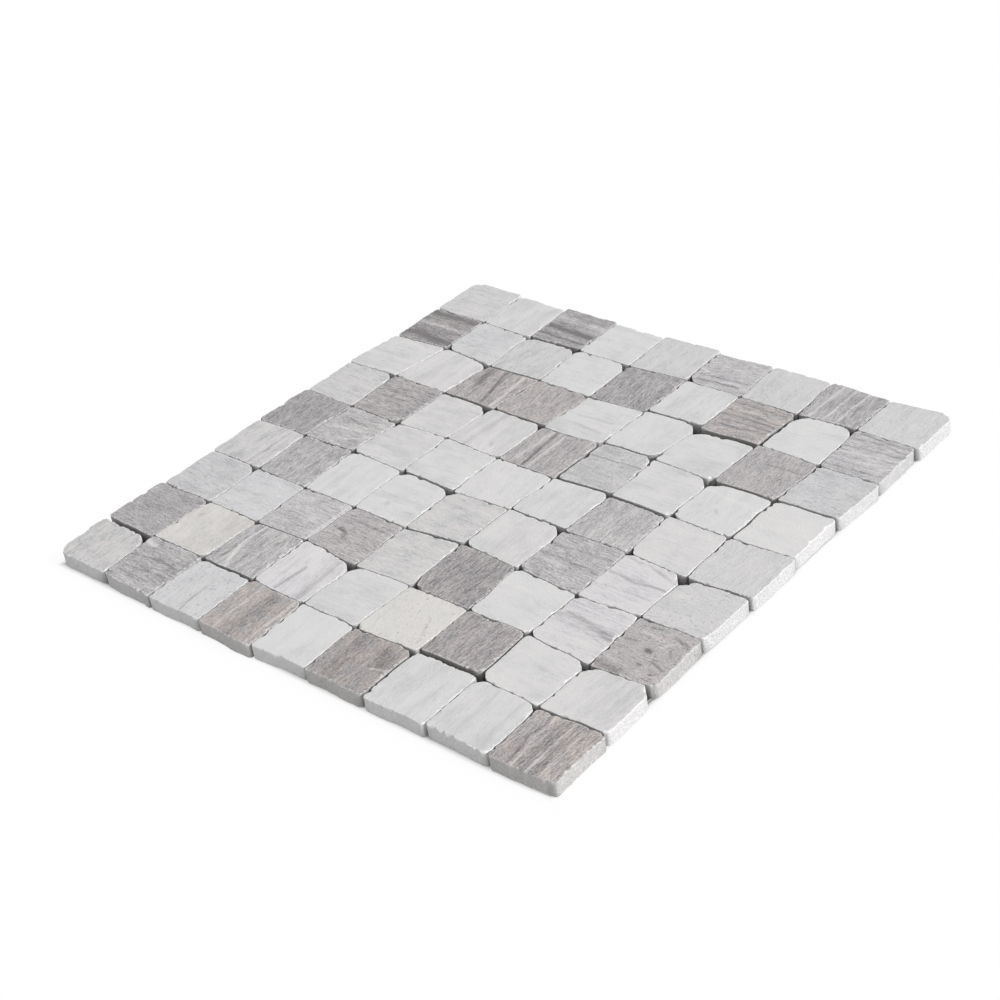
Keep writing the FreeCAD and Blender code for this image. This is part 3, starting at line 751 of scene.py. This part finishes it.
def stone_facts(tree, look):
    """What a stone is like at each place, by name: what its mesh says there, and its patterns.

    Patterns are sized in millimetres, because the quarry place is. The bedding is bent by two slow
    noises before its grain is drawn.
    """
    said = ("worn", "beside", "grime", "stroke", "behind", "shade", "warmth", "pitted")
    seen = {name: add(tree, "Attribute", {"attribute_name": name}).outputs["Fac"] for name in said}
    place = add(tree, "Attribute", {"attribute_name": "quarry_place"}).outputs["Vector"]
    sway = grain(tree, place, 30.0, 13.0)
    ripple = grain(tree, place, 8.0, 3.2)
    bend = weigh(tree, ((sway, look["sway_mm"]), (ripple, look["ripple_mm"])))
    aside = add(tree, "CombineXYZ", None, {1: bend}).outputs[0]
    bent = add(tree, "VectorMath", {"operation": "ADD"}, {0: place, 1: aside}).outputs[0]
    # True grain is about 0.1 mm fine, drawn five times as coarse so that it shows
    hairs = grain(tree, bent, 4.5, 0.5)
    seams = grain(tree, bent, 40.0, look["seam_mm"])
    specks = grain(tree, place, 1.0, 0.8, 1.0)
    cracks = grain(tree, place, 4.5, 0.8)
    seen.update({
        "bands": grain(tree, bent, 60.0, look["band_mm"]),
        "lines": grain(tree, bent, 22.0, look["line_mm"]),
        "hairs": add(tree, "MapRange", {1: 0.4, 2: 0.6}, {0: hairs}).outputs[0],
        "seams": add(tree, "ValToRGB", {"stops": greys(SEAM_GREYS)}, {0: seams}).outputs[0],
        "clouds": grain(tree, place, look["cloud_mm"] * 1.4, look["cloud_mm"]),
        "specks": add(tree, "MapRange", {1: 0.4, 2: 0.6}, {0: specks}).outputs[0],
        "cracks": add(tree, "MapRange", {1: 0.6, 2: 0.68}, {0: cracks}).outputs[0],
        "grit": grain(tree, place, 1.4, 1.0, 1.0),
        "hollows": grain(tree, place, 1.9, 1.0, 1.0),
    })
    return seen


def stone_colour(tree, look, seen):
    """The stone's colour: its patterns added up, read on a ramp from dark to pale, and tinted."""
    bedded = weigh(tree, [(seen[name], look[name]) for name in ("bands", "lines", "hairs", "seams")])
    cloudy = weigh(tree, [(seen[name], look[name]) for name in ("clouds", "specks")])
    # Pitted stone is massive: its bedding is fainter and its cracks are plainer
    bedding = add(tree, "MapRange", {3: 1.0, 4: 0.3}, {0: seen["pitted"]}).outputs[0]
    level = add(tree, "Math", {"operation": "MULTIPLY_ADD"}, {0: bedded, 1: bedding, 2: cloudy})
    settings = {"operation": "MULTIPLY_ADD", 1: look["shade_spread"], 2: 0.5}
    shade = add(tree, "Math", settings, {0: seen["shade"]})
    level = add(tree, "Math", {"operation": "ADD"}, {0: level.outputs[0], 1: shade.outputs[0]})
    settings = {3: -0.2 * look["cracks"], 4: -0.7 * look["cracks"]}
    cracked = add(tree, "MapRange", settings, {0: seen["pitted"]})
    links = {0: seen["cracks"], 1: cracked.outputs[0], 2: level.outputs[0]}
    level = add(tree, "Math", {"operation": "MULTIPLY_ADD"}, links)
    # The bedding's lines break a stroke up
    settings = {1: 0.3, 2: 0.7, 3: 0.45 * look["strokes"], 4: 1.5 * look["strokes"]}
    inked = add(tree, "MapRange", settings, {0: seen["lines"]})
    links = {0: seen["stroke"], 1: inked.outputs[0], 2: level.outputs[0]}
    level = add(tree, "Math", {"operation": "MULTIPLY_ADD", "use_clamp": True}, links)
    stops = ((0.0, linear(look["dark"])), (0.5, linear(look["ground"])), (1.0, linear(look["pale"])))
    ground = add(tree, "ValToRGB", {"stops": stops}, {0: level.outputs[0]})

    where = add(tree, "MapRange", {1: 0.4, 2: 0.65, 3: 0.25, 4: 1.0}, {0: seen["clouds"]})
    warm = add(tree, "Math", {"operation": "MULTIPLY"}, {0: where.outputs[0], 1: seen["warmth"]})
    settings = {"data_type": "RGBA", 6: linear(look["cool"]), 7: linear(look["warm"])}
    tint = add(tree, "Mix", settings, {0: warm.outputs[0]})
    settings = {"data_type": "RGBA", "blend_type": "MULTIPLY", 0: 1.0}
    return add(tree, "Mix", settings, {6: ground.outputs[0], 7: tint.outputs[2]}).outputs[2]


def crumbs(tree, seen):
    """Where crumbs have broken out: in places along the border of the top, and on most of the sides."""
    loose = weigh(tree, ((seen["grit"], 3.5), (seen["specks"], 0.3)))
    loose = add(tree, "Math", {"operation": "ADD"}, {0: loose, 1: seen["worn"]})
    return add(tree, "MapRange", {1: 0.8, 2: 0.95}, {0: loose.outputs[0]}).outputs[0]


def crushed_stone(tree, look, seen):
    """The colour of crushed stone: pale on top and duller on the sides, mottled by its grit."""
    settings = {"data_type": "RGBA", 6: linear(look["pale"]), 7: linear(look["side"])}
    powder = add(tree, "Mix", settings, {0: seen["beside"]})
    mottle = add(tree, "MapRange", {1: 0.4, 2: 0.6, 3: 0.91, 4: 1.03}, {0: seen["grit"]})
    settings = {"data_type": "RGBA", "blend_type": "MULTIPLY", 0: 1.0}
    return add(tree, "Mix", settings, {6: powder.outputs[2], 7: mottle.outputs[0]}).outputs[2]


def open_pits(tree, seen):
    """Where pits are open: hollows in the cloudy patches of a pitted tile."""
    settings = {"interpolation_type": "SMOOTHSTEP", 1: 0.6, 2: 0.68}
    holes = add(tree, "MapRange", settings, {0: seen["hollows"]})
    settings = {"interpolation_type": "SMOOTHSTEP", 1: 0.42, 2: 0.58}
    where = add(tree, "MapRange", settings, {0: seen["clouds"]})
    holes = add(tree, "Math", {"operation": "MULTIPLY"}, {0: holes.outputs[0], 1: where.outputs[0]})
    links = {0: holes.outputs[0], 1: seen["pitted"]}
    return add(tree, "Math", {"operation": "MULTIPLY"}, links).outputs[0]


def stone_relief(tree, look, seen, broken, holes):
    """The bump of specks, hairs and seams, with cracks, pits and broken grit sunk in."""
    relief = weigh(tree, ((seen["specks"], 0.6), (seen["hairs"], 0.4), (seen["seams"], 0.12)))
    relief = add(tree, "Math", {"operation": "SUBTRACT"}, {0: relief, 1: holes})
    links = {0: seen["cracks"], 2: relief.outputs[0]}
    relief = add(tree, "Math", {"operation": "MULTIPLY_ADD", 1: -0.5}, links)
    sunk = add(tree, "MapRange", {1: 0.35, 2: 0.65, 3: -2.4, 4: -0.6}, {0: seen["grit"]})
    links = {0: broken, 1: sunk.outputs[0], 2: relief.outputs[0]}
    relief = add(tree, "Math", {"operation": "MULTIPLY_ADD"}, links)
    settings = {"Strength": 0.8, "Distance": look["relief_mm"] * MM}
    return add(tree, "Bump", settings, {"Height": relief.outputs[0]}).outputs[0]


def tumbled_stone(name, look):
    """Tumbled marble: bedded grain with crisp paired lines, clouds, specks, cracks and worn edges.

    `look` gives the colours, how strongly each pattern shows, and the sizes of some.
    """
    material, tree, output = new_material(name)
    seen = stone_facts(tree, look)
    broken = crumbs(tree, seen)
    holes = open_pits(tree, seen)
    crushed = add(tree, "Math", {"operation": "MAXIMUM"}, {0: broken, 1: seen["beside"]})
    crushed = add(tree, "Math", {"operation": "MULTIPLY", 1: 0.8}, {0: crushed.outputs[0]})
    links = {0: crushed.outputs[0], 6: stone_colour(tree, look, seen), 7: crushed_stone(tree, look, seen)}
    colour = add(tree, "Mix", {"data_type": "RGBA"}, links).outputs[2]
    # Painted shade darkens the walls between tiles, deepest at their foot
    joint_shading = add(tree, "Math", {"operation": "MULTIPLY", 1: 0.75}, {0: seen["grime"]}).outputs[0]
    # The back is sawn and smeared with the white adhesive that holds the net
    settings = {"interpolation_type": "SMOOTHSTEP", 1: 0.4, 2: 0.55, 3: 0.25, 4: 0.95}
    smear = add(tree, "MapRange", settings, {0: seen["clouds"]}).outputs[0]
    smear = add(tree, "Math", {"operation": "MULTIPLY"}, {0: smear, 1: seen["behind"]}).outputs[0]
    for share, over in ((holes, look["pit"]), (joint_shading, JOINT_SHADE), (smear, ADHESIVE)):
        colour = add(tree, "Mix", {"data_type": "RGBA", 7: linear(over)}, {0: share, 6: colour}).outputs[2]

    settings = {3: look["roughness"] - 0.06, 4: look["roughness"] + 0.08}
    sheen = add(tree, "MapRange", settings, {0: seen["specks"]})
    shader = add(tree, "BsdfPrincipled", {"IOR": 1.5}, {
        "Base Color": colour,
        "Roughness": sheen.outputs[0],
        "Normal": stone_relief(tree, look, seen, broken, holes),
    })
    tree.links.new(shader.outputs[0], output.inputs[0])
    return material


def white_marble():
    """White dolomitic marble, honed and tumbled: an even pale ground with faint drifting grain."""
    return tumbled_stone("white_marble_tumbled", {
        "ground": "#D8D8D8", "pale": "#E4E4E3", "dark": "#B3B2B3", "side": "#C8C7C7", "pit": "#A9A8A6",
        "cool": "#FCFDFD", "warm": "#FFFCFC", "sway_mm": 7.0, "ripple_mm": 2.0,
        "band_mm": 4.5, "line_mm": 1.3, "cloud_mm": 11.0, "seam_mm": 9.0,
        "bands": 0.55, "lines": 0.27, "hairs": 0.08, "clouds": 0.62, "specks": 0.08, "seams": 0.06,
        "cracks": 0.5, "strokes": 0.5,
        "shade_spread": 0.14, "relief_mm": 0.08, "roughness": 0.6,
    })


def veined_marble():
    """White marble crossed by soft lilac-grey veins that follow its bedding."""
    return tumbled_stone("veined_marble_tumbled", {
        "ground": "#D9D8D9", "pale": "#E6E5E5", "dark": "#969397", "side": "#C8C7C7", "pit": "#A5A3A5",
        "cool": "#FDFDFF", "warm": "#FFFCFB", "sway_mm": 4.0, "ripple_mm": 1.6,
        "band_mm": 2.6, "line_mm": 0.9, "cloud_mm": 11.0, "seam_mm": 5.0,
        "bands": 0.4, "lines": 0.38, "hairs": 0.12, "clouds": 0.4, "specks": 0.09, "seams": 0.1,
        "cracks": 0.4, "strokes": 0.8,
        "shade_spread": 0.06, "relief_mm": 0.08, "roughness": 0.6,
    })


def cream_marble():
    """Cream marble: a warm cloudy ground with small rusty pits in places."""
    return tumbled_stone("cream_marble_tumbled", {
        "ground": "#D8D6D4", "pale": "#E4E2E0", "dark": "#B4B1AD", "side": "#CCCAC7", "pit": "#A8A098",
        "cool": "#FFFFFF", "warm": "#FFFCF8", "sway_mm": 6.0, "ripple_mm": 2.5,
        "band_mm": 5.0, "line_mm": 1.2, "cloud_mm": 9.0, "seam_mm": 9.0,
        "bands": 0.5, "lines": 0.35, "hairs": 0.1, "clouds": 0.6, "specks": 0.12, "seams": 0.08,
        "cracks": 0.5, "strokes": 0.6,
        "shade_spread": 0.12, "relief_mm": 0.09, "roughness": 0.62,
    })


def pale_grey_marble():
    """Pale grey marble: fine specks and faint straight grain."""
    return tumbled_stone("pale_grey_marble_tumbled", {
        "ground": "#CDCDCD", "pale": "#DFDEDE", "dark": "#9E9D9E", "side": "#C8C8C8", "pit": "#8F8D8C",
        "cool": "#FDFDFF", "warm": "#FFFCFB", "sway_mm": 5.0, "ripple_mm": 1.6,
        "band_mm": 3.0, "line_mm": 0.8, "cloud_mm": 8.0, "seam_mm": 5.0,
        "bands": 0.5, "lines": 0.45, "hairs": 0.2, "clouds": 0.7, "specks": 0.2, "seams": 0.14,
        "cracks": 0.8, "strokes": 0.6,
        "shade_spread": 0.13, "relief_mm": 0.1, "roughness": 0.62,
    })


def grey_marble():
    """Grey marble with swirled, finely streaked grain."""
    return tumbled_stone("grey_marble_tumbled", {
        "ground": "#B8B6B7", "pale": "#D8D7D7", "dark": "#858384", "side": "#BEBDBD", "pit": "#7E7C7B",
        "cool": "#FDFDFF", "warm": "#FFFCFB", "sway_mm": 6.0, "ripple_mm": 2.2,
        "band_mm": 2.6, "line_mm": 0.7, "cloud_mm": 7.0, "seam_mm": 4.2,
        "bands": 0.45, "lines": 0.5, "hairs": 0.42, "clouds": 0.8, "specks": 0.33, "seams": 0.24,
        "cracks": 0.8, "strokes": 0.7,
        "shade_spread": 0.11, "relief_mm": 0.11, "roughness": 0.64,
    })


def taupe_marble():
    """Wood-grained taupe marble: straight brown-grey bands and lines, pinkish in patches."""
    return tumbled_stone("taupe_marble_tumbled", {
        "ground": "#A9A6A6", "pale": "#D0CCCB", "dark": "#747171", "side": "#B9B8B7", "pit": "#6E6A69",
        "cool": "#FBFBFE", "warm": "#FFF9F5", "sway_mm": 5.0, "ripple_mm": 1.4,
        "band_mm": 2.4, "line_mm": 0.65, "cloud_mm": 8.0, "seam_mm": 4.0,
        "bands": 0.38, "lines": 0.43, "hairs": 0.44, "clouds": 0.55, "specks": 0.33, "seams": 0.26,
        "cracks": 0.8, "strokes": 0.8,
        "shade_spread": 0.14, "relief_mm": 0.11, "roughness": 0.64,
    })


def glass_fibre_yarn():
    """Flat glass-fibre yarn in greyed resin: fine filaments along it and a dull shine."""
    material, tree, output = new_material("glass_fibre_yarn")
    place = add(tree, "Attribute", {"attribute_name": "yarn_place"}).outputs["Vector"]
    along = add(tree, "Mapping", {"Scale": (0.15, 9.0, 1.0)}, {"Vector": place}).outputs[0]
    filaments = add(tree, "TexNoise", {"Scale": 1.0, "Detail": 3.0}, {"Vector": along}).outputs[0]
    stops = ((0.3, linear("#8E8E89")), (0.7, linear("#B9B9B4")))
    resin = add(tree, "ValToRGB", {"stops": stops}, {0: filaments})
    bump = add(tree, "Bump", {"Strength": 0.6, "Distance": 0.06 * MM}, {"Height": filaments})
    shader = add(tree, "BsdfPrincipled", {"IOR": 1.52, "Roughness": 0.42}, {
        "Base Color": resin.outputs[0],
        "Normal": bump.outputs[0],
    })
    tree.links.new(shader.outputs[0], output.inputs[0])
    return material


# Surroundings

def camera():
    """The camera at the photograph's viewpoint, rolled as the photograph is."""
    lens = bpy.data.cameras.new("camera")
    lens.lens = LENS
    lens.sensor_width = SENSOR
    lens.clip_end = 20.0
    eye = bpy.data.objects.new("camera", lens)
    towards = (VIEW_AT - VIEW_FROM).to_track_quat("-Z", "Y").to_matrix().to_4x4()
    eye.matrix_world = Matrix.Translation(VIEW_FROM) @ towards @ Matrix.Rotation(VIEW_ROLL, 4, "Z")
    bpy.context.scene.collection.objects.link(eye)
    bpy.context.scene.camera = eye


def sun():
    """One soft key light from the right, which leaves the front sides in shade."""
    lamp = bpy.data.lights.new("key_light", "SUN")
    lamp.energy = SUN_STRENGTH
    lamp.angle = SUN_SPREAD
    thing = bpy.data.objects.new("key_light", lamp)
    thing.rotation_euler = SUN_TOWARDS.to_track_quat("Z", "Y").to_euler()
    bpy.context.scene.collection.objects.link(thing)


def looking(tree):
    """1 for rays from the camera, in gloss and through glass, which see the surroundings, and else 0."""
    rays = add(tree, "LightPath").outputs
    links = {0: rays["Is Camera Ray"], 1: rays["Is Transmission Ray"]}
    seen = add(tree, "Math", {"operation": "MAXIMUM"}, links)
    links = {0: seen.outputs[0], 1: rays["Is Glossy Ray"]}
    return add(tree, "Math", {"operation": "MAXIMUM"}, links).outputs[0]


def sky():
    """An even pale sky that lights the sheet, and is plain white to the camera and in reflections."""
    world = bpy.data.worlds.new("sky")
    bpy.context.scene.world = world
    world.use_nodes = True
    tree = world.node_tree
    tree.nodes.clear()
    strength = add(tree, "MapRange", {3: SKY_STRENGTH, 4: 1.0}, {0: looking(tree)})
    light = add(tree, "Background", {"Color": (1.0, 1.0, 1.0, 1.0)}, {"Strength": strength.outputs[0]})
    output = add(tree, "OutputWorld")
    tree.links.new(light.outputs[0], output.inputs[0])


def white_floor():
    """A white floor that shows only a faint contact shadow, painted dark grey under the sheet as shade."""
    half = FLOOR_SIZE / 2.0
    mesh = bpy.data.meshes.new("floor")
    corners = [(-half, -half, 0), (half, -half, 0), (half, half, 0), (-half, half, 0)]
    mesh.from_pydata(corners, [], [(0, 1, 2, 3)])
    floor = bpy.data.objects.new("floor", mesh)
    bpy.context.scene.collection.objects.link(floor)
    material, tree, output = new_material("white_floor")
    beyond = add(tree, "TexCoord").outputs["Object"]
    beyond = add(tree, "VectorMath", {"operation": "ABSOLUTE"}, {0: beyond}).outputs[0]
    split = add(tree, "SeparateXYZ", None, {0: beyond}).outputs
    furthest = add(tree, "Math", {"operation": "MAXIMUM"}, {0: split[0], 1: split[1]}).outputs[0]
    edge = max(cad_box[1][0], cad_box[1][1])
    # Painted shade: the floor's colour is dark grey under the sheet and pale beyond its edge
    settings = {1: edge + FLOOR_SHADE_EDGE[0] * MM, 2: edge + FLOOR_SHADE_EDGE[1] * MM}
    clear = add(tree, "MapRange", settings, {0: furthest})
    settings = {"data_type": "RGBA", 6: linear("#3C3C3C"), 7: linear("#F6F6F6")}
    tone = add(tree, "Mix", settings, {0: clear.outputs[0]})
    matt = add(tree, "BsdfDiffuse", None, {"Color": tone.outputs[2]})
    glow = add(tree, "Emission", {"Color": (1.0, 1.0, 1.0, 1.0), "Strength": 1.0})
    settings = {1: edge + FLOOR_GLOW[0] * MM, 2: edge + FLOOR_GLOW[1] * MM}
    away = add(tree, "MapRange", settings, {0: furthest})
    stops = greys(((0.0, 0.0), (0.25, 0.9), (1.0, 1.0)))
    lit = add(tree, "ValToRGB", {"stops": stops}, {0: away.outputs[0]})
    share = add(tree, "Math", {"operation": "MULTIPLY"}, {0: looking(tree), 1: lit.outputs[0]})
    links = {0: share.outputs[0], 1: matt.outputs[0], 2: glow.outputs[0]}
    mixed = add(tree, "MixShader", None, links)
    tree.links.new(mixed.outputs[0], output.inputs[0])
    mesh.materials.append(material)


def main():
    bpy.context.scene.view_settings.view_transform = "Standard"
    camera()
    sun()
    sky()
    white_floor()
    stones = (
        ("white_marble", white_marble()),
        ("veined_marble", veined_marble()),
        ("cream_marble", cream_marble()),
        ("pale_grey_marble", pale_grey_marble()),
        ("grey_marble", grey_marble()),
        ("taupe_marble", taupe_marble()),
    )
    faces = tile_faces()
    for slot, material in stones:
        node = slot + "_tiles"
        tiles = cad_tiles(node)
        for strip, first, end in STRIPS:
            surfaces = [tile_surface(tile) for tile in tiles if first <= tile["row"] < end]
            if surfaces:
                joined_piece(f"{node}_{strip}", node, surfaces, faces, material)
    yarn = glass_fibre_yarn()
    for layer, across in (("net_lower", False), ("net_upper", True)):
        node = layer + "_threads"
        threads = enumerate(cad_solids(node))
        surfaces = [yarn_surface(number, thread, across) for number, thread in threads]
        joined_piece(layer + "_yarns", node, surfaces, yarn_faces(across), yarn)


main()
